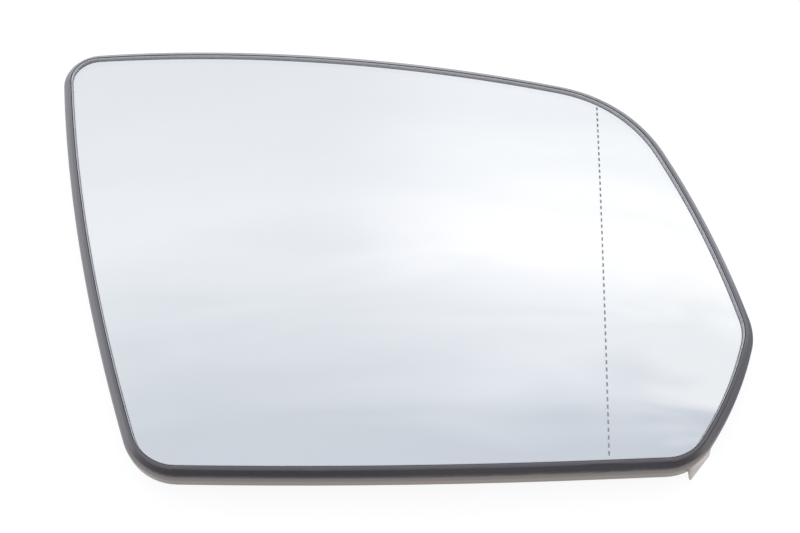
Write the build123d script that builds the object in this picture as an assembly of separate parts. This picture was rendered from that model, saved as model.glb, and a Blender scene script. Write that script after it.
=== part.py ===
from build123d import *
import os
from math import asin, cos, degrees, radians, sin, sqrt, tan

# Right-hand door mirror glass on its snap-in carrier, lying on its back.
# Millimetres. +X points outboard, +Y up the door, +Z out of the glass.
# The origin is on the socket axis, at the end of the collar.

# Glass outline: where its five edges would meet, measured from the socket axis
foot_inboard = 73.7
foot_inboard_below = 76.1
foot_outboard = 93.5
foot_outboard_below = 76.2
tip_outboard = 118.0
tip_below = 32.8
shoulder_outboard = 86.9
shoulder_above = 57.1
top_inboard = 115.2
top_above = 84.3

# How far each edge bows out from the straight line between its corners
bottom_bow = 2.4
outer_lower_bow = 2.45
outer_upper_bow = 3.4
top_bow = 6.8
inboard_bow = 4.5

# Rounding of each corner
foot_inboard_round = 15.9
foot_outboard_round = 15.5
tip_round = 15.6
shoulder_round = 46.4
top_inboard_round = 8.8

# Curvature: a sphere, and a tighter outer zone that starts at the dashed line
main_radius = 1400.0
outer_radius = 450.0
line_outboard = 73.75
line_lean = 3.9            # degrees, the line's top leans outboard

# Glass
glass_thickness = 2.0
edge_grind = 0.3           # rounding of the ground front edge
dash_length = 1.4
dash_pitch = 2.5
dash_width = 0.55
dash_depth = 0.05
dash_shift = 2.45          # of the row of dashes along its line
dash_inset = 1.5           # from the middle of an end dash to the edge of the glass

# Heating mat
mat_thickness = 0.6
mat_inset = 2.5

# Carrier tray
glass_gap = 0.2
plate_thickness = 1.8
rim_width = 3.6            # from the edge of the glass to the outer wall
rim_proud = 0.05           # crest of the rim above the front of the glass
crest_width = 0.75
crest_round = 1.6
flank_round = 4.0          # where the flared flank turns down into the skirt
skirt_drop = 2.8           # from the back of the plate to the skirt's lower edge
skirt_wall = 1.6
rib_thickness = 1.4
rib_height = 1.5
rib_count = 12
rib_ring_radius = 50.0
rib_inset = 15.0           # from the edge of the glass to the rib that follows it
rib_bend = 4.0             # least inner rounding of that rib

# Snap collar on the back
socket_radius = 25.0
socket_depth = 12.5
collar_wall = 2.4
finger_count = 4
finger_width = 11.0
slit_width = 1.5
slit_height = 8.5
lug_reach = 1.3
lug_lift = 1.2             # from the collar's end to the lug
lug_ramp = 2.6             # height of the lead-in
lug_catch = 1.0            # height of the catch behind it
key_width = 6.0
key_height = 3.0
key_turn = -65.0           # degrees from +X to the key notch
gusset_reach = 11.0
gusset_lift = 4.0          # from the collar's end to the gusset's foot

# Heater terminals: 6.3 x 0.8 blades through windows in the carrier
terminal_inboard = 70.0
terminal_spread = 32.0
blade_width = 6.3
blade_thickness = 0.8
blade_lift = 3.5           # from the collar's end to the blade's tip
blade_tip_cut = 1.0
blade_hole = 1.8
blade_hole_lift = 3.2      # from the blade's tip to the hole
foot_length = 7.0
foot_thickness = 0.5
window_margin = 1.6

# Nib: a thin lip that leans out below the skirt at the lower outboard corner
nib_base = 10.4
nib_height = 6.0
nib_thickness = 0.7
nib_inset = 1.5            # from the skirt's outer face to the nib's inner face at its root
nib_heel = 0.9             # how far the lip leans out at its upper end
nib_tip = 2.25             # and at its pointed end
nib_lift = 0.3             # from the collar's end to the nib
nib_turn = 49.0            # degrees below +X, seen from the corner's centre

# Stack: depths below the front of the glass
mat_top = glass_thickness
floor_depth = mat_top + mat_thickness
plate_depth = floor_depth + plate_thickness
skirt_depth = plate_depth + skirt_drop
front_height = socket_depth + plate_depth
collar_radius = socket_radius + collar_wall

# Cutting and curved solids reach past everything
past = 1.0
reach_share = 1.3
reach = reach_share * max(foot_inboard, foot_outboard, tip_outboard, shoulder_outboard, top_inboard)
tall = front_height + reach

# Upward lean of the faces that meet along the rim, as the height of their unit normal
wall_lean = (-0.2, 0.2)
flank_lean = (0.2, 0.9)
crest_lean = (0.9, 1.1)
flank_slope = radians(45)
fillet_share = 0.8         # of the room that a rounding has

# Centres of the two curved zones, in the section across the dashed line
line_angle = asin(line_outboard / main_radius)
zone_shift = main_radius - outer_radius
main_zone = ((0, front_height - main_radius), main_radius)
outer_zone = ((zone_shift * sin(line_angle), main_zone[0][1] + zone_shift * cos(line_angle)), outer_radius)
inner_end = -asin(reach / main_radius)
outer_end = asin((reach - outer_zone[0][0]) / outer_radius)
curve_axis = Axis((0, 0, main_zone[0][1]), (1, 0, 0))
slab_turn = 2 * degrees(asin(reach / (main_radius - tall)))

glass_edges = [
    # corner, its rounding, and the bow of the edge that runs on from it
    ((-foot_inboard, -foot_inboard_below), foot_inboard_round, bottom_bow),
    ((foot_outboard, -foot_outboard_below), foot_outboard_round, outer_lower_bow),
    ((tip_outboard, -tip_below), tip_round, outer_upper_bow),
    ((shoulder_outboard, shoulder_above), shoulder_round, top_bow),
    ((-top_inboard, top_above), top_inboard_round, inboard_bow),
]


def glass_outline(least_round=0.0):
    """Outline of the glass seen from the front, its corners no sharper than a rounding."""
    corners = [corner for corner, _, _ in glass_edges]
    with BuildSketch() as sketch:
        with BuildLine():
            for (start, _, bow), end in zip(glass_edges, corners[1:] + corners[:1]):
                SagittaArc(start, end, -bow)
        make_face()
        for corner, rounding, _ in glass_edges:
            vertex = sketch.vertices().sort_by_distance(Vector(*corner))[0]
            fillet(vertex, max(rounding, least_round))
    return sketch.sketch


def section_point(angle, depth, zone):
    """Point of the curved section, at an angle from the vertical and a depth below the glass."""
    centre, radius = zone
    return (centre[0] + (radius - depth) * sin(angle), centre[1] + (radius - depth) * cos(angle))


def section_arc(first, last, depth, zone):
    """Arc of the curved section between two angles."""
    ThreePointArc(
        section_point(first, depth, zone),
        section_point((first + last) / 2, depth, zone),
        section_point(last, depth, zone),
    )


def layer(upper, lower):
    """Curved slab between two depths below the front of the glass, larger than every outline."""
    with BuildSketch(Plane.XZ) as section:
        with BuildLine():
            for depth in (upper, lower):
                section_arc(inner_end, line_angle, depth, main_zone)
                section_arc(line_angle, outer_end, depth, outer_zone)
            for angle, zone in ((inner_end, main_zone), (outer_end, outer_zone)):
                Line(section_point(angle, upper, zone), section_point(angle, lower, zone))
        make_face()
    slab = revolve(section.sketch, curve_axis, slab_turn).rotate(curve_axis, -slab_turn / 2)
    return slab.rotate(Axis.Z, -line_lean)


def prism(sketch):
    """Upright solid of a sketch, taller than the part."""
    return extrude(sketch, tall, both=True)


def edges_leaning(solid, lean):
    """Edges of the faces whose upward lean is in a range."""
    low, high = lean
    faces = [face for face in solid.faces() if low <= face.normal_at(face.center()).Z < high]
    return [edge for face in faces for edge in face.edges()]


def upper_edges(solid):
    """Edges round the curved top of a solid, without the seam between the two zones."""
    edges = edges_leaning(solid, crest_lean)
    return [edge for edge in edges if sum(edge.is_same(other) for other in edges) == 1]


def shared_edges(solid, one_lean, other_lean):
    """Edges between faces of one lean and faces of another."""
    others = edges_leaning(solid, other_lean)
    return [edge for edge in edges_leaning(solid, one_lean) if any(edge.is_same(o) for o in others)]


outline = glass_outline()


def grown(amount, start=outline):
    """Outline moved outwards: each of its arcs keeps its centre and gets a larger radius."""
    with BuildSketch() as sketch:
        with BuildLine():
            for edge in start.edges():
                share = 1 + amount / edge.radius
                ThreePointArc(*[edge.arc_center + (edge @ t - edge.arc_center) * share for t in (0, 0.5, 1)])
        make_face()
    return sketch.sketch


def mirror_glass():
    """Curved glass with a ground front edge and, in its back, the dashes where the outer zone starts."""
    pane = prism(outline) & layer(0, glass_thickness)
    pane = pane.solids()[0].fillet(edge_grind, upper_edges(pane))
    line = Location((0, 0, 0), (0, 0, -line_lean)) * Location((line_outboard, 0, 0))
    steps = int(reach / dash_pitch)
    inside = grown(-dash_inset).face()
    places = [line * Location((0, i * dash_pitch + dash_shift, 0)) for i in range(-steps, steps)]
    places = [place for place in places if inside.is_inside(place.position)]
    dashes = Sketch() + [place * Rectangle(dash_width, dash_length) for place in places]
    return pane - (prism(dashes) & layer(glass_thickness - dash_depth, glass_thickness + past))


def heater_mat():
    """Self-adhesive mat between the glass and the carrier."""
    return prism(grown(-mat_inset)) & layer(mat_top, floor_depth)


def flared_block():
    """Block of the carrier's outer shape, with the flank that flares out from the crest."""
    block = prism(grown(rim_width)) & layer(-rim_proud, skirt_depth)
    flank = rim_width - glass_gap - crest_width
    block = block.solids()[0].chamfer(flank, flank, upper_edges(block))
    room = min(skirt_depth + rim_proud - flank, flank * sqrt(2))
    turn = min(flank_round, fillet_share * room / tan(flank_slope / 2))
    block = block.fillet(turn, shared_edges(block, wall_lean, flank_lean))
    return block.fillet(crest_round, shared_edges(block, flank_lean, crest_lean))


def tray():
    """Curved plate with its rim and skirt."""
    pocket = prism(grown(glass_gap)) & layer(-rim_proud - past, floor_depth)
    underside = prism(grown(rim_width - skirt_wall)) & layer(plate_depth, skirt_depth + past)
    return flared_block() - pocket - underside


def ribs():
    """Radial ribs, a ring rib and a rib that follows the outline, on the back of the plate."""
    run = Pos(reach / 2, 0, 0) * Rectangle(reach, rib_thickness)
    pattern = Sketch() + [run.rotate(Axis.Z, 360 * i / rib_count) for i in range(rib_count)]
    pattern += Circle(rib_ring_radius + rib_thickness / 2) - Circle(rib_ring_radius - rib_thickness / 2)
    rounded = glass_outline(rib_inset + rib_thickness + rib_bend)
    pattern += grown(-rib_inset, rounded) - grown(-rib_inset - rib_thickness, rounded)
    pattern -= Circle(collar_radius - collar_wall / 2)
    field = prism(grown(rim_width - skirt_wall / 2))
    return prism(pattern) & field & layer(plate_depth - plate_thickness / 2, plate_depth + rib_height)


def collar():
    """Snap collar: plain socket with slit fingers, outward lugs, a key notch and gussets."""
    root = collar_radius - collar_wall / 2
    top = front_height - floor_depth - plate_thickness / 2
    ring = extrude(Circle(collar_radius) - Circle(socket_radius), top)
    lug_section = Plane.XZ * Polygon(
        (root, lug_lift),
        (collar_radius, lug_lift),
        (collar_radius + lug_reach, lug_lift + lug_ramp),
        (collar_radius, lug_lift + lug_ramp + lug_catch),
        (root, lug_lift + lug_ramp + lug_catch),
        align=None,
    )
    gusset_section = Plane.XZ * Polygon(
        (root, gusset_lift),
        (collar_radius, gusset_lift),
        (collar_radius + gusset_reach, top),
        (root, top),
        align=None,
    )
    finger_turn = degrees(finger_width / collar_radius)
    slit_turn = finger_turn / 2 + degrees(slit_width / collar_radius) / 2
    cut_length = 2 * (collar_wall + lug_reach + past)
    lug = revolve(lug_section, Axis.Z, finger_turn).rotate(Axis.Z, -finger_turn / 2)
    gusset = extrude(gusset_section, rib_thickness / 2, both=True)
    slit = Pos(collar_radius, 0, 0) * Box(cut_length, slit_width, 2 * slit_height)
    key = Pos(collar_radius, 0, 0) * Box(cut_length, key_width, 2 * key_height)
    for i in range(finger_count):
        finger = 360 * (i + 0.5) / finger_count
        ring += lug.rotate(Axis.Z, finger)
        ring += gusset.rotate(Axis.Z, 360 * i / finger_count)
        for turn in (finger - slit_turn, finger + slit_turn):
            ring -= slit.rotate(Axis.Z, turn)
    return ring - key.rotate(Axis.Z, key_turn)


def nib():
    """Thin pointed lip under the skirt, at the lower outboard corner."""
    corner = Vector(foot_outboard, -foot_outboard_below)
    centre = outline.edges().filter_by(
        lambda edge: abs(edge.radius - foot_outboard_round) < 1e-6
    ).sort_by_distance(corner)[0].arc_center
    place = Pos(centre.X, centre.Y, nib_lift) * Rot(0, 0, -nib_turn)
    inner = foot_outboard_round + rim_width - nib_inset

    def slice_at(lift, heel, tip):
        """Outline of the lip at a height, leaning out by an amount at each end."""
        return place * Pos(0, 0, lift) * Polygon(
            (inner + heel, nib_base / 2),
            (inner + tip, -nib_base / 2),
            (inner + tip + nib_thickness, -nib_base / 2),
            (inner + heel + nib_thickness, nib_base / 2),
            align=None,
        )

    return loft([slice_at(0, nib_heel, nib_tip), slice_at(nib_height, 0, 0)], ruled=True)


terminal_places = [Location((-terminal_inboard, side * terminal_spread / 2, 0)) for side in (1, -1)]


def carrier_plate():
    """The whole moulding, with a window for each terminal."""
    moulding = tray() + ribs() + collar() + nib()
    window = Rectangle(foot_length + 2 * window_margin, blade_width + 2 * window_margin)
    for place in terminal_places:
        moulding -= prism(place * window) & layer(floor_depth - past, skirt_depth + past)
    return moulding


def heater_terminal(place):
    """Stamped blade with a foot that lies on the mat."""
    foot = prism(place * Rectangle(foot_length, blade_width))
    foot &= layer(floor_depth, floor_depth + foot_thickness)
    blade_section = Plane.YZ * Polygon(
        (-blade_width / 2 + blade_tip_cut, blade_lift),
        (blade_width / 2 - blade_tip_cut, blade_lift),
        (blade_width / 2, blade_lift + blade_tip_cut),
        (blade_width / 2, front_height),
        (-blade_width / 2, front_height),
        (-blade_width / 2, blade_lift + blade_tip_cut),
        align=None,
    )
    blade = place * extrude(blade_section, blade_thickness / 2, both=True)
    blade &= layer(floor_depth, tall)
    hole_place = place * Pos(0, 0, blade_lift + blade_hole_lift) * Rot(0, 90, 0)
    return foot + blade - hole_place * Cylinder(blade_hole / 2, blade_width)


os.makedirs("parts", exist_ok=True)
export_step(mirror_glass(), "parts/mirror_glass.step")
export_step(heater_mat(), "parts/heater_mat.step")
export_step(carrier_plate(), "parts/carrier_plate.step")
for name, place in zip(("upper", "lower"), terminal_places):
    export_step(heater_terminal(place), f"parts/heater_terminal_{name}.step")
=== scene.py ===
from math import asin, atan2, ceil, cos, pi, radians, sin, sqrt

import bpy
from mathutils import Matrix, Vector
from mathutils.geometry import delaunay_2d_cdt


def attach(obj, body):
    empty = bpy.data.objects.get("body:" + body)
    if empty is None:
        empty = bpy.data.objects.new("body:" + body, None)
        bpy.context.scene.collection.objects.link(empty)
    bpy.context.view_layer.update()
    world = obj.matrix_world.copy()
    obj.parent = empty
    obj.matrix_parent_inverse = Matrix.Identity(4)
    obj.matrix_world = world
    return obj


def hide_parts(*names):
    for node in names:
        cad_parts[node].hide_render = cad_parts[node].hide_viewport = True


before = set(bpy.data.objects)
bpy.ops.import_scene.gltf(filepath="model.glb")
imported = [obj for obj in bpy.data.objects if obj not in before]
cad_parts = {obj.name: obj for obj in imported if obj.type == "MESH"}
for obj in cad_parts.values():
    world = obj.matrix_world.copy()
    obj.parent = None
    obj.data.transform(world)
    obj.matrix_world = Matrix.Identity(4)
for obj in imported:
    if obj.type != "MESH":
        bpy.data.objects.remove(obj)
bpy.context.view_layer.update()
scene = bpy.context.scene
scene.view_settings.view_transform = "Standard"
MM = 0.001

# The glass in millimetres: corner, its rounding, and the bow of the edge that runs on from it

GLASS_EDGES = [
    ((-73.7, -76.1), 15.9, 2.4),
    ((93.5, -76.2), 15.5, 2.45),
    ((118.0, -32.8), 15.6, 3.4),
    ((86.9, 57.1), 46.4, 6.8),
    ((-115.2, 84.3), 8.8, 4.5),
]
MAIN_RADIUS = 1400.0
OUTER_RADIUS = 450.0
LINE_OUTBOARD = 73.75
LINE_LEAN = radians(3.9)
FRONT_HEIGHT = 16.9
COAT_DEPTH = 1.9  # the silvered back, clear of the mat's own facets
EDGE_GRIND = 0.2  # rounding of the ground front edge
DASH_LENGTH = 1.4
DASH_PITCH = 2.5
DASH_WIDTH = 0.55
DASH_SHIFT = 2.45
DASH_INSET = 1.5

LINE_ANGLE = asin(LINE_OUTBOARD / MAIN_RADIUS)
ZONE_SHIFT = MAIN_RADIUS - OUTER_RADIUS
CENTRE_HEIGHT = FRONT_HEIGHT - MAIN_RADIUS

# Steps of the pane's mesh: round the edge, over the ground edge, and across the front and the back

EDGE_STEP = 1.2
EDGE_TURN = radians(4)
COARSE_STEP = 6.0
COARSE_TURN = radians(8)
FEWEST_STEPS = 4
GRIND_STEPS = 4
FRONT_GRID = 3.0
BACK_GRID = 3.5
GRID_REACH = 130
GRID_MARGIN = 1.8
DASH_MARGIN = 1.5
SLOPE_STEP = 0.05
FILL_INSIDE = 1
FILL_MERGE = 1e-6


def glass_arcs():
    """The outline as (centre, radius, first angle, last angle), counter-clockwise."""
    count = len(GLASS_EDGES)
    circles, rounds, arcs = [], [], []
    for i in range(count):
        start, end = Vector(GLASS_EDGES[i][0]), Vector(GLASS_EDGES[(i + 1) % count][0])
        bow = GLASS_EDGES[i][2]
        chord = (end - start).length
        radius = (chord**2 / 4 + bow**2) / (2 * bow)
        inward = (end - start).orthogonal().normalized()
        circles.append(((start + end) / 2 + inward * (radius - bow), radius))
    for i in range(count):
        corner, rounding, _ = GLASS_EDGES[i]
        (first, first_radius), (second, second_radius) = circles[i - 1], circles[i]
        a, b = first_radius - rounding, second_radius - rounding
        apart = second - first
        along = (apart.length_squared + a**2 - b**2) / (2 * apart.length)
        across = sqrt(max(a**2 - along**2, 0.0))
        axis, side = apart.normalized(), apart.orthogonal().normalized()
        centres = [first + axis * along + side * across * sign for sign in (1, -1)]
        rounds.append(min(centres, key=lambda centre: (centre - Vector(corner)).length))
    for i in range(count):
        turn = [atan2(*(rounds[i] - circles[j][0]).yx) for j in (i - 1, i)]
        arcs.append((rounds[i], GLASS_EDGES[i][1], *turn))
        to_next = rounds[(i + 1) % count] - circles[i][0]
        arcs.append((*circles[i], turn[1], atan2(*to_next.yx)))
    return arcs


def outline(step, turn_step):
    """Points and outward directions round the edge of the glass."""
    points = []
    for centre, radius, first, last in glass_arcs():
        sweep = (last - first) % (2 * pi)
        count = ceil(max(sweep * radius / step / 2, sweep / turn_step, FEWEST_STEPS))
        for i in range(count):
            angle = first + sweep * i / count
            out = Vector((cos(angle), sin(angle)))
            points.append((centre + out * radius, out))
    return points


COARSE_OUTLINE = outline(COARSE_STEP, COARSE_TURN)


def inside(point, margin):
    """Is a point of the plan inside the glass by a margin? The outline is convex."""
    return all((point - edge).dot(out) <= -margin for edge, out in COARSE_OUTLINE)


def height(x, y, depth):
    """Height of the curved layer at a depth below the front of the glass."""
    u = x * cos(LINE_LEAN) - y * sin(LINE_LEAN)
    v = x * sin(LINE_LEAN) + y * cos(LINE_LEAN)
    if u <= (MAIN_RADIUS - depth) * sin(LINE_ANGLE):
        lift = sqrt((MAIN_RADIUS - depth) ** 2 - u**2)
    else:
        shift = u - ZONE_SHIFT * sin(LINE_ANGLE)
        lift = ZONE_SHIFT * cos(LINE_ANGLE) + sqrt((OUTER_RADIUS - depth) ** 2 - shift**2)
    return CENTRE_HEIGHT + sqrt(lift**2 - v**2)


def surface_normal(x, y, depth, step=SLOPE_STEP):
    """Upward direction square to the curved layer."""
    slope_x = (height(x + step, y, depth) - height(x - step, y, depth)) / (2 * step)
    slope_y = (height(x, y + step, depth) - height(x, y - step, depth)) / (2 * step)
    return Vector((-slope_x, -slope_y, 1)).normalized()


def on_line(u, v):
    """Plan point at a distance across and along the direction of the dashed line."""
    return Vector((u * cos(LINE_LEAN) + v * sin(LINE_LEAN), -u * sin(LINE_LEAN) + v * cos(LINE_LEAN)))


def dash_middles():
    """Places of the dashes along their line, as far as the glass goes."""
    tallest = max(corner[1] for corner, _, _ in GLASS_EDGES)
    steps = int(tallest * 2 / DASH_PITCH)
    middles = [i * DASH_PITCH + DASH_SHIFT for i in range(-steps, steps)]
    return [v for v in middles if inside(on_line(LINE_OUTBOARD, v), DASH_INSET)]


def dash_frames(middles):
    """Corners of the dashes in plan, and the edges that join them."""
    corners, edges = [], []
    for v in middles:
        first = len(corners)
        for du, dv in ((-1, -1), (1, -1), (1, 1), (-1, 1)):
            corners.append(on_line(LINE_OUTBOARD + du * DASH_WIDTH / 2, v + dv * DASH_LENGTH / 2))
        edges += [(first + i, first + (i + 1) % 4) for i in range(4)]
    return corners, edges


def across_line(point):
    """Distance of a plan point from the dashed line."""
    return abs(point.dot(on_line(1, 0)) - LINE_OUTBOARD)


def in_dash(point, middles):
    v = point.dot(on_line(0, 1))
    return across_line(point) < DASH_WIDTH / 2 and any(abs(v - d) < DASH_LENGTH / 2 for d in middles)


def grid_inside(step):
    """Points of a staggered grid that lie well inside the glass."""
    points = []
    for row in range(int(2 * GRID_REACH / step)):
        for column in range(int(2 * GRID_REACH / step)):
            shift = 0.5 * (row % 2)
            x = (column + shift) * step - GRID_REACH
            y = row * step * sqrt(3) / 2 - GRID_REACH
            point = Vector((x, y))
            if inside(point, GRID_MARGIN):
                points.append(point)
    return points


def filled(ring, extra_points, extra_edges=()):
    """Triangles over a ring of plan points, through the extra points. The ring's points come first."""
    count = len(ring)
    points = list(ring) + list(extra_points)
    edges = [(i + count, j + count) for i, j in extra_edges]
    found, _, faces, _, _, _ = delaunay_2d_cdt(
        points, edges, [list(range(count))], FILL_INSIDE, FILL_MERGE
    )
    return found, faces


# Node helpers


def new_material(name):
    material = bpy.data.materials.new(name)
    material.use_nodes = True
    return material, material.node_tree.nodes, material.node_tree.links


def noise(nodes, links, scale, detail=3.0, roughness=0.5, distortion=0.0, stretch=None):
    """Noise on object coordinates, in metres, optionally stretched."""
    coordinates = nodes.new("ShaderNodeTexCoord")
    texture = nodes.new("ShaderNodeTexNoise")
    texture.inputs["Scale"].default_value = scale
    texture.inputs["Detail"].default_value = detail
    texture.inputs["Roughness"].default_value = roughness
    texture.inputs["Distortion"].default_value = distortion
    source = coordinates.outputs["Object"]
    if stretch:
        mapping = nodes.new("ShaderNodeMapping")
        mapping.inputs["Scale"].default_value = stretch
        links.new(source, mapping.inputs["Vector"])
        source = mapping.outputs["Vector"]
    links.new(source, texture.inputs["Vector"])
    return texture.outputs["Fac"]


def object_axis(nodes, links, axis):
    """One of the object coordinates, in metres."""
    coordinates = nodes.new("ShaderNodeTexCoord")
    parts = nodes.new("ShaderNodeSeparateXYZ")
    links.new(coordinates.outputs["Object"], parts.inputs["Vector"])
    return parts.outputs[axis]


def distance_from(nodes, links, place):
    """Distance from a place in object coordinates, in metres."""
    coordinates = nodes.new("ShaderNodeTexCoord")
    node = nodes.new("ShaderNodeVectorMath")
    node.operation = "DISTANCE"
    node.inputs[1].default_value = place
    links.new(coordinates.outputs["Object"], node.inputs[0])
    return node.outputs["Value"]


def ramp(nodes, links, source, stops):
    node = nodes.new("ShaderNodeValToRGB")
    elements = node.color_ramp.elements
    while len(elements) < len(stops):
        elements.new(1.0)
    for element, (place, colour) in zip(elements, stops):
        element.position = place
        element.color = (*colour, 1.0)
    links.new(source, node.inputs["Fac"])
    return node.outputs["Color"]


def spread(nodes, links, source, low, high, first=0.35, last=0.65):
    """A factor's middle range spread over new limits."""
    node = nodes.new("ShaderNodeMapRange")
    node.inputs["From Min"].default_value = first
    node.inputs["From Max"].default_value = last
    node.inputs["To Min"].default_value = low
    node.inputs["To Max"].default_value = high
    links.new(source, node.inputs["Value"])
    return node.outputs["Result"]


def mixed(nodes, links, factor, first, second):
    """A colour passing into another as a factor goes from 0 to 1. Each is a tuple or a socket."""
    node = nodes.new("ShaderNodeMix")
    node.data_type = "RGBA"
    links.new(factor, node.inputs["Factor"])
    for socket, colour in ((node.inputs[6], first), (node.inputs[7], second)):
        if isinstance(colour, tuple):
            socket.default_value = colour
        else:
            links.new(colour, socket)
    return node.outputs[2]


def bump(nodes, links, shader, source, strength, distance):
    node = nodes.new("ShaderNodeBump")
    node.inputs["Strength"].default_value = strength
    node.inputs["Distance"].default_value = distance
    links.new(source, node.inputs["Height"])
    links.new(node.outputs["Normal"], shader.inputs["Normal"])


# Materials

WHITE = (1, 1, 1, 1)
GLASS_IOR = 1.52
GRIT_SCALE = 2600.0

# The dashes from the lower end of their line to the upper end, in metres. They are painted lighter towards
# the lower end: painted light that offsets the dimmer light and reflection on them there
MARK_ENDS = (-0.075, 0.065)
MARK_TONES_WITH_PAINTED_LIGHT = [
    (0.0, (0.7, 0.705, 0.715)),
    (0.55, (0.58, 0.585, 0.595)),
    (1.0, (0.34, 0.345, 0.355)),
]

# The nib and the corner beside it are painted paler than the rest of the plastic: painted light for the
# brightly lit corner
NIB_PLACE = (0.099, -0.076, 0.0015)
NIB_REACH = (0.0045, 0.0075)
NIB_PAINTED_LIGHT = (0.52, 0.5, 0.47, 1)


def clear_glass():
    material, nodes, links = new_material("clear_glass")
    shader = nodes["Principled BSDF"]
    shader.inputs["Base Color"].default_value = (0.97, 0.98, 0.99, 1)
    shader.inputs["Transmission Weight"].default_value = 1.0
    shader.inputs["IOR"].default_value = GLASS_IOR
    smear = noise(nodes, links, 28.0, detail=4.0, distortion=1.5, stretch=(1.0, 0.35, 1.0))
    links.new(spread(nodes, links, smear, 0.0, 0.02, 0.5, 0.75), shader.inputs["Roughness"])
    return material


def silver_coat():
    material, nodes, links = new_material("silver_coat")
    shader = nodes["Principled BSDF"]
    shader.inputs["Metallic"].default_value = 1.0
    shader.inputs["Roughness"].default_value = 0.0
    tone = noise(nodes, links, 9.0, detail=2.0)
    colour = ramp(nodes, links, tone, [(0.3, (0.93, 0.928, 0.95)), (0.7, (0.95, 0.943, 0.965))])
    links.new(colour, shader.inputs["Base Color"])
    return material


def ground_glass():
    material, nodes, links = new_material("ground_glass")
    shader = nodes["Principled BSDF"]
    shader.inputs["IOR"].default_value = GLASS_IOR
    grit = noise(nodes, links, GRIT_SCALE, detail=4.0, roughness=0.7)
    colour = ramp(nodes, links, grit, [(0.3, (0.74, 0.75, 0.77)), (0.7, (0.86, 0.87, 0.89))])
    links.new(colour, shader.inputs["Base Color"])
    links.new(spread(nodes, links, grit, 0.4, 0.65), shader.inputs["Roughness"])
    bump(nodes, links, shader, grit, 0.3, 0.00005)
    return material


def silvered_edge():
    material, nodes, links = new_material("silvered_edge")
    shader = nodes["Principled BSDF"]
    shader.inputs["Metallic"].default_value = 1.0
    grit = noise(nodes, links, GRIT_SCALE, detail=4.0, roughness=0.7)
    colour = ramp(nodes, links, grit, [(0.3, (0.72, 0.725, 0.74)), (0.7, (0.86, 0.865, 0.88))])
    links.new(colour, shader.inputs["Base Color"])
    links.new(spread(nodes, links, grit, 0.25, 0.45), shader.inputs["Roughness"])
    return material


def etched_mark():
    material, nodes, links = new_material("etched_mark")
    shader = nodes["Principled BSDF"]
    # Painted light: the dashes are lighter towards the lower end of their line
    along = spread(nodes, links, object_axis(nodes, links, "Y"), 0.0, 1.0, *MARK_ENDS)
    links.new(ramp(nodes, links, along, MARK_TONES_WITH_PAINTED_LIGHT), shader.inputs["Base Color"])
    grit = noise(nodes, links, 3000.0)
    links.new(spread(nodes, links, grit, 0.5, 0.7), shader.inputs["Roughness"])
    return material


def satin_plastic():
    material, nodes, links = new_material("satin_plastic")
    shader = nodes["Principled BSDF"]
    patches = noise(nodes, links, 35.0, detail=5.0, roughness=0.6)
    dark = ramp(nodes, links, patches, [(0.3, (0.028, 0.0265, 0.031)), (0.7, (0.039, 0.0365, 0.042))])
    # Painted light: paler round the nib and the corner beside it
    away_from_nib_light = spread(nodes, links, distance_from(nodes, links, NIB_PLACE), 0.0, 1.0, *NIB_REACH)
    links.new(mixed(nodes, links, away_from_nib_light, NIB_PAINTED_LIGHT, dark), shader.inputs["Base Color"])
    shader.inputs["IOR"].default_value = 1.9
    shader.inputs["Specular IOR Level"].default_value = 0.95
    shader.inputs["Specular Tint"].default_value = (0.96, 0.93, 1.0, 1)
    grain = noise(nodes, links, 3600.0, detail=3.0, roughness=0.6)
    links.new(spread(nodes, links, grain, 0.2, 0.27), shader.inputs["Roughness"])
    bump(nodes, links, shader, grain, 0.08, 0.00002)
    return material


def heater_film():
    material, nodes, links = new_material("heater_film")
    shader = nodes["Principled BSDF"]
    shader.inputs["Roughness"].default_value = 0.45
    coordinates = nodes.new("ShaderNodeTexCoord")
    wave = nodes.new("ShaderNodeTexWave")
    wave.bands_direction = "Y"
    wave.inputs["Scale"].default_value = 26.0
    links.new(coordinates.outputs["Object"], wave.inputs["Vector"])
    tracks = wave.outputs["Fac"]
    colour = ramp(nodes, links, tracks, [(0.45, (0.025, 0.025, 0.027)), (0.55, (0.16, 0.15, 0.14))])
    links.new(colour, shader.inputs["Base Color"])
    bump(nodes, links, shader, tracks, 0.3, 0.00005)
    return material


def stamped_brass():
    material, nodes, links = new_material("stamped_brass")
    shader = nodes["Principled BSDF"]
    shader.inputs["Metallic"].default_value = 1.0
    rolled = noise(nodes, links, 400.0, detail=4.0, stretch=(1.0, 1.0, 0.08))
    tarnish = noise(nodes, links, 260.0, detail=5.0, roughness=0.65)
    colour = ramp(nodes, links, tarnish, [(0.35, (0.5, 0.37, 0.17)), (0.65, (0.8, 0.66, 0.38))])
    links.new(colour, shader.inputs["Base Color"])
    links.new(spread(nodes, links, rolled, 0.2, 0.42), shader.inputs["Roughness"])
    bump(nodes, links, shader, rolled, 0.15, 0.00004)
    return material


# The pane: clear front, ground edge, and a silvered back with the dashed line left out of the silver

CLEAR, GROUND, SILVER, MARK, WALL = range(5)


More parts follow.
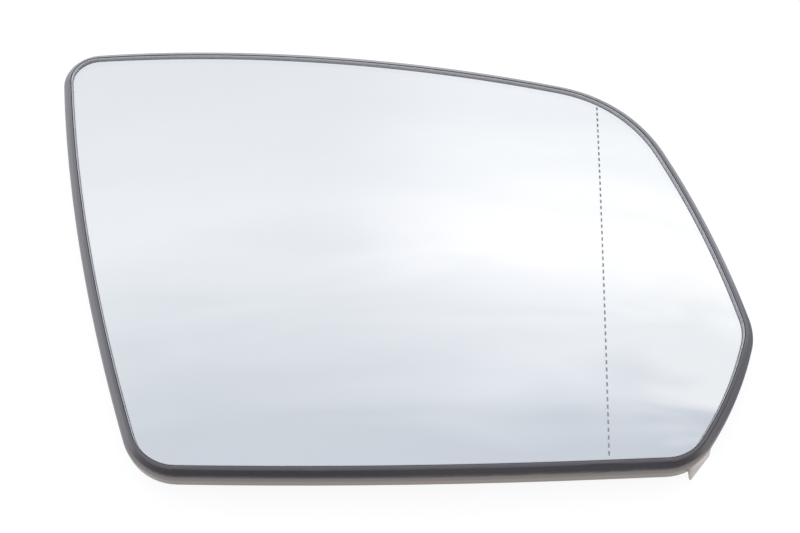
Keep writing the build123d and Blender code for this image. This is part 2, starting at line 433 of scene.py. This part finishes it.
class PaneMesh:
    """Points, faces, face materials and corner normals of the pane, over one ring of edge points."""

    def __init__(self, ring):
        self.ring = ring
        self.points, self.faces, self.kinds, self.normals = [], [], [], []

    def lay(self, plan, depth, drop=0.0):
        """Adds plan points on a curved layer, or a drop below it. Gives the first one's index."""
        first = len(self.points)
        for p in plan:
            self.points.append((p.x * MM, p.y * MM, (height(p.x, p.y, depth) - drop) * MM))
        return first

    def fill(self, ring_first, depth, found, triangles, kind_of, back=False):
        """Adds triangles whose first points are a ring that is already there."""
        count = len(self.ring)
        first = self.lay(found[count:], depth)
        index = [*range(ring_first, ring_first + count), *range(first, len(self.points))]
        sign = -1 if back else 1
        for a, b, c in triangles:
            corners = (c, b, a) if back else (a, b, c)
            self.faces.append([index[i] for i in corners])
            self.kinds.append(kind_of((found[a] + found[b] + found[c]) / 3))
            self.normals.append([surface_normal(*found[i], depth) * sign for i in corners])

    def wall(self, upper, lower, kind, upper_turn, lower_turn):
        """Adds quads between two rings, whose outward lean goes from one turn to another."""
        count = len(self.ring)
        for i in range(count):
            j = (i + 1) % count
            self.faces.append([upper + j, upper + i, lower + i, lower + j])
            self.kinds.append(kind)
            corners = ((j, upper_turn), (i, upper_turn), (i, lower_turn), (j, lower_turn))
            self.normals.append([Vector((*self.ring[k][1] * sin(turn), cos(turn))) for k, turn in corners])

    def made(self, name, materials):
        """The finished object, in the scene."""
        mesh = bpy.data.meshes.new(name)
        mesh.from_pydata(self.points, [], self.faces)
        for material in materials:
            mesh.materials.append(material)
        mesh.polygons.foreach_set("material_index", self.kinds)
        mesh.polygons.foreach_set("use_smooth", [True] * len(self.faces))
        mesh.normals_split_custom_set([normal for face in self.normals for normal in face])
        piece = bpy.data.objects.new(name, mesh)
        scene.collection.objects.link(piece)
        return piece


def mirror_pane():
    ring = outline(EDGE_STEP, EDGE_TURN)
    edge = [p for p, _ in ring]
    shell = PaneMesh(ring)

    front_edge = [p - out * EDGE_GRIND for p, out in ring]
    front = shell.lay(front_edge, 0.0)
    found, triangles = filled(front_edge, grid_inside(FRONT_GRID))
    shell.fill(front, 0.0, found, triangles, lambda p: CLEAR)

    upper, upper_turn = front, 0.0
    for step in range(1, GRIND_STEPS + 1):
        turn = pi / 2 * step / GRIND_STEPS
        plan = [p - out * EDGE_GRIND * (1 - sin(turn)) for p, out in ring]
        lower = shell.lay(plan, 0.0, EDGE_GRIND * (1 - cos(turn)))
        shell.wall(upper, lower, GROUND, upper_turn, turn)
        upper, upper_turn = lower, turn
    back = shell.lay(edge, COAT_DEPTH)
    shell.wall(upper, back, WALL, pi / 2, pi / 2)

    dashes = dash_middles()
    corners, frames = dash_frames(dashes)
    spare = [p for p in grid_inside(BACK_GRID) if across_line(p) > DASH_MARGIN]
    found, triangles = filled(edge, corners + spare, frames)
    shell.fill(back, COAT_DEPTH, found, triangles, lambda p: MARK if in_dash(p, dashes) else SILVER, True)

    materials = (clear_glass(), ground_glass(), silver_coat(), etched_mark(), silvered_edge())
    pane = shell.made("mirror_pane", materials)
    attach(pane, "root")
    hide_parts("mirror_glass")


mirror_pane()

# The other pieces keep their own meshes and get new materials

brass = stamped_brass()
for node, material in (
    ("carrier_plate", satin_plastic()),
    ("heater_mat", heater_film()),
    ("heater_terminal_upper", brass),
    ("heater_terminal_lower", brass),
):
    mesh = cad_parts[node].data
    for i in range(len(mesh.materials)):
        mesh.materials[i] = material

# Floor: white to the camera; in the rim it is warm just in front of the part and dark farther off,
# cool beside and behind the part, with a painted shadow of the part by the lower outboard edge

FLOOR_HALF = 30.0
FLOOR_GREY = (0.22, 0.22, 0.22, 1)
FLOOR_GLOW = 0.88
FLOOR_FRONT = (-0.165, -0.065)
FLOOR_TONES = [
    (0.0, (0.3, 0.29, 0.28)),
    (0.5, (1.0, 0.91, 0.8)),
    (0.8, (1.0, 0.91, 0.8)),
    (1.0, (0.95, 0.97, 1.0)),
]
# Painted shadow of the part on the floor, seen in the rim by the lower outboard edge
FLOOR_PAINTED_SHADOW = (0.38, 0.4, 0.44, 1)
FLOOR_PAINTED_SHADOW_PLACE = (0.155, -0.045, 0.0)
FLOOR_PAINTED_SHADOW_REACH = (0.035, 0.055)


def pale_floor():
    half = FLOOR_HALF
    corners = [(-half, -half, 0), (half, -half, 0), (half, half, 0), (-half, half, 0)]
    mesh = bpy.data.meshes.new("floor")
    mesh.from_pydata(corners, [], [(0, 1, 2, 3)])
    material, nodes, links = new_material("floor")
    output, shader = nodes["Material Output"], nodes["Principled BSDF"]
    shader.inputs["Base Color"].default_value = FLOOR_GREY
    shader.inputs["Roughness"].default_value = 1.0
    shader.inputs["Specular IOR Level"].default_value = 0.0
    front = spread(nodes, links, object_axis(nodes, links, "Y"), 0.0, 1.0, *FLOOR_FRONT)
    # Painted shadow: the floor is dimmer in the rim by the lower outboard edge, where the part shades it
    distance = distance_from(nodes, links, FLOOR_PAINTED_SHADOW_PLACE)
    off_painted_shadow = spread(nodes, links, distance, 0.0, 1.0, *FLOOR_PAINTED_SHADOW_REACH)
    in_rim = mixed(nodes, links, off_painted_shadow, FLOOR_PAINTED_SHADOW, ramp(nodes, links, front, FLOOR_TONES))
    path = nodes.new("ShaderNodeLightPath")
    glow = nodes.new("ShaderNodeEmission")
    glow.inputs["Strength"].default_value = FLOOR_GLOW
    links.new(mixed(nodes, links, path.outputs["Is Camera Ray"], in_rim, WHITE), glow.inputs["Color"])
    both = nodes.new("ShaderNodeAddShader")
    links.new(shader.outputs["BSDF"], both.inputs[0])
    links.new(glow.outputs["Emission"], both.inputs[1])
    links.new(both.outputs["Shader"], output.inputs["Surface"])
    mesh.materials.append(material)
    floor = bpy.data.objects.new("floor", mesh)
    scene.collection.objects.link(floor)


pale_floor()

# World: white to the camera, and for the rest a soft pale sky, dimmer behind the camera.
# The sky's bands run away from the camera over a level ceiling, the horizon's from the room behind
# the camera to the windows ahead

SKY_STRENGTH = 1.1
SKY_NEAR = [
    (-1.4, (0.2, 0.2, 0.205)),
    (-0.8, (0.48, 0.48, 0.51)),
    (-0.3, (0.56, 0.57, 0.6)),
]
SKY_LEFT = SKY_NEAR + [
    (0.08, (0.75, 0.77, 0.8)),
    (0.23, (0.61, 0.65, 0.685)),
    (0.29, (0.612, 0.65, 0.685)),
    (0.41, (0.71, 0.745, 0.765)),
    (0.54, (0.79, 0.82, 0.838)),
    (0.64, (0.84, 0.86, 0.872)),
    (0.85, (0.795, 0.82, 0.835)),
    (1.05, (0.765, 0.795, 0.81)),
]
SKY_RIGHT = SKY_NEAR + [
    (0.08, (0.8, 0.82, 0.85)),
    (0.22, (0.58, 0.62, 0.66)),
    (0.28, (0.585, 0.625, 0.665)),
    (0.35, (0.685, 0.725, 0.755)),
    (0.47, (0.84, 0.866, 0.88)),
    (0.6, (1.05, 1.05, 1.04)),
    (0.72, (0.955, 0.97, 0.965)),
    (0.9, (0.865, 0.885, 0.89)),
]
SKY_OUTER = SKY_NEAR + [
    (0.08, (0.8, 0.82, 0.85)),
    (0.22, (0.56, 0.6, 0.64)),
    (0.31, (0.57, 0.612, 0.655)),
    (0.33, (0.645, 0.677, 0.712)),
    (0.355, (0.76, 0.787, 0.802)),
    (0.38, (0.822, 0.844, 0.846)),
    (0.44, (0.82, 0.84, 0.845)),
    (0.485, (0.875, 0.895, 0.885)),
    (0.6, (1.06, 1.06, 1.05)),
    (0.72, (0.955, 0.97, 0.965)),
    (0.9, (0.865, 0.885, 0.89)),
]
HORIZON = [
    (-0.9, (0.17, 0.17, 0.175)),
    (-0.62, (0.25, 0.255, 0.26)),
    (-0.35, (0.34, 0.345, 0.355)),
    (0.0, (0.78, 0.8, 0.83)),
    (0.55, (0.9, 0.92, 0.95)),
    (0.95, (2.2, 2.25, 2.3)),
]
BAND_LIMITS = (-1.5, 1.5)
RIGHT_BLEND = (-0.15, 0.22)
OUTER_BLEND = (0.28, 0.44)
HORIZON_BLEND = (1.25, 2.2)
LOWEST_RISE = 0.05
CLOUD_SLANT = radians(32)
CLOUD_STRETCH = (1.2, 5.5, 1.0)
CLOUD_SCALE = 1.9
CLOUD_DETAIL = 2.0
CLOUD_DISTORTION = 0.6
CLOUD_RANGE = (0.3, 0.7)
CLOUD_DRIFT = 0.05
ROOM_SCALE = 3.0
ROOM_DETAIL = 2.0
ROOM_SHAPES = 0.35
RIGHT_DIMMING = 0.35


def maths(nodes, links, operation, first, second=0.0):
    node = nodes.new("ShaderNodeMath")
    node.operation = operation
    for socket, value in zip(node.inputs, (first, second)):
        if isinstance(value, (int, float)):
            socket.default_value = value
        else:
            links.new(value, socket)
    return node.outputs["Value"]


def band(nodes, links, value, stops):
    """Colours along a value, with stops at the value's own numbers."""
    low, high = BAND_LIMITS
    factor = spread(nodes, links, value, 0.0, 1.0, low, high)
    return ramp(nodes, links, factor, [((place - low) / (high - low), colour) for place, colour in stops])


def blend(nodes, links, value, limits, one, other):
    """One colour passing smoothly into another as a value goes from one limit to the other."""
    step = nodes.new("ShaderNodeMapRange")
    step.interpolation_type = "SMOOTHSTEP"
    step.inputs["From Min"].default_value = limits[0]
    step.inputs["From Max"].default_value = limits[1]
    links.new(value, step.inputs["Value"])
    return mixed(nodes, links, step.outputs["Result"], one, other)


def cloud_drift(nodes, links, across, away):
    """Thin cloud, drawn out on a slant, as a shift of the sky's bands."""
    place = nodes.new("ShaderNodeCombineXYZ")
    links.new(across, place.inputs["X"])
    links.new(away, place.inputs["Y"])
    slant = nodes.new("ShaderNodeMapping")
    slant.inputs["Rotation"].default_value = (0, 0, CLOUD_SLANT)
    slant.inputs["Scale"].default_value = CLOUD_STRETCH
    links.new(place.outputs["Vector"], slant.inputs["Vector"])
    cloud = nodes.new("ShaderNodeTexNoise")
    cloud.inputs["Scale"].default_value = CLOUD_SCALE
    cloud.inputs["Detail"].default_value = CLOUD_DETAIL
    cloud.inputs["Distortion"].default_value = CLOUD_DISTORTION
    links.new(slant.outputs["Vector"], cloud.inputs["Vector"])
    return spread(nodes, links, cloud.outputs["Fac"], -CLOUD_DRIFT, CLOUD_DRIFT, *CLOUD_RANGE)


def ceiling(nodes, links, across, away):
    """The sky overhead: three sets of bands from left to right."""
    shifted = maths(nodes, links, "ADD", away, cloud_drift(nodes, links, across, away))
    left, right, outer = [band(nodes, links, shifted, stops) for stops in (SKY_LEFT, SKY_RIGHT, SKY_OUTER)]
    main = blend(nodes, links, across, RIGHT_BLEND, left, right)
    return blend(nodes, links, across, OUTER_BLEND, main, outer)


def horizon(nodes, links, direction, parts):
    """The sky low down: dimmer to the right, with vague shapes in the dim room behind the camera."""
    rightward = maths(nodes, links, "MAXIMUM", parts["X"], 0.0)
    dimming = maths(nodes, links, "MULTIPLY", rightward, RIGHT_DIMMING)
    window_side = maths(nodes, links, "SUBTRACT", parts["Y"], dimming)
    room = nodes.new("ShaderNodeTexNoise")
    room.inputs["Scale"].default_value = ROOM_SCALE
    room.inputs["Detail"].default_value = ROOM_DETAIL
    links.new(direction, room.inputs["Vector"])
    shapes = spread(nodes, links, room.outputs["Fac"], -ROOM_SHAPES, ROOM_SHAPES)
    nearer = maths(nodes, links, "MAXIMUM", maths(nodes, links, "MULTIPLY", parts["Y"], -1.0), 0.0)
    shaped = maths(nodes, links, "ADD", window_side, maths(nodes, links, "MULTIPLY", shapes, nearer))
    return band(nodes, links, shaped, HORIZON)


def sky():
    world = bpy.data.worlds.new("studio")
    scene.world = world
    world.use_nodes = True
    nodes, links = world.node_tree.nodes, world.node_tree.links
    nodes.clear()

    # A direction's place on a level ceiling: across (to the right) and away (from the camera)
    direction = nodes.new("ShaderNodeTexCoord").outputs["Generated"]
    separate = nodes.new("ShaderNodeSeparateXYZ")
    links.new(direction, separate.inputs["Vector"])
    parts = separate.outputs
    rise = maths(nodes, links, "MAXIMUM", parts["Z"], LOWEST_RISE)
    across = maths(nodes, links, "DIVIDE", parts["X"], rise)
    away = maths(nodes, links, "DIVIDE", parts["Y"], rise)
    squares = [maths(nodes, links, "POWER", value, 2) for value in (across, away)]
    out = maths(nodes, links, "SQRT", maths(nodes, links, "ADD", *squares))
    overhead = ceiling(nodes, links, across, away)
    low_down = horizon(nodes, links, direction, parts)
    colour = blend(nodes, links, out, HORIZON_BLEND, overhead, low_down)

    output = nodes.new("ShaderNodeOutputWorld")
    white = nodes.new("ShaderNodeBackground")
    white.inputs["Color"].default_value = WHITE
    soft = nodes.new("ShaderNodeBackground")
    soft.inputs["Strength"].default_value = SKY_STRENGTH
    links.new(colour, soft.inputs["Color"])
    path = nodes.new("ShaderNodeLightPath")
    mix = nodes.new("ShaderNodeMixShader")
    links.new(path.outputs["Is Camera Ray"], mix.inputs["Fac"])
    links.new(soft.outputs["Background"], mix.inputs[1])
    links.new(white.outputs["Background"], mix.inputs[2])
    links.new(mix.outputs["Shader"], output.inputs["Surface"])


sky()

# Camera

FOCAL_PIXELS = 1186.0
IMAGE_WIDTH = 800
SENSOR = 36.0
NEAREST = 0.01
CAMERA_PLACE = Vector((6.53, -202.29, 355.47)) * MM
CAMERA_RIGHT = Vector((0.99982, -0.01581, -0.01008)).normalized()
CAMERA_UP = Vector((0.01872, 0.87043, 0.49193))


def place_camera():
    data = bpy.data.cameras.new("camera")
    data.sensor_width = SENSOR
    data.lens = SENSOR * FOCAL_PIXELS / IMAGE_WIDTH
    data.clip_start = NEAREST
    back = CAMERA_RIGHT.cross(CAMERA_UP).normalized()
    up = back.cross(CAMERA_RIGHT)
    turn = Matrix((CAMERA_RIGHT, up, back)).transposed()
    camera = bpy.data.objects.new("camera", data)
    camera.matrix_world = Matrix.Translation(CAMERA_PLACE) @ turn.to_4x4()
    scene.collection.objects.link(camera)
    scene.camera = camera


place_camera()
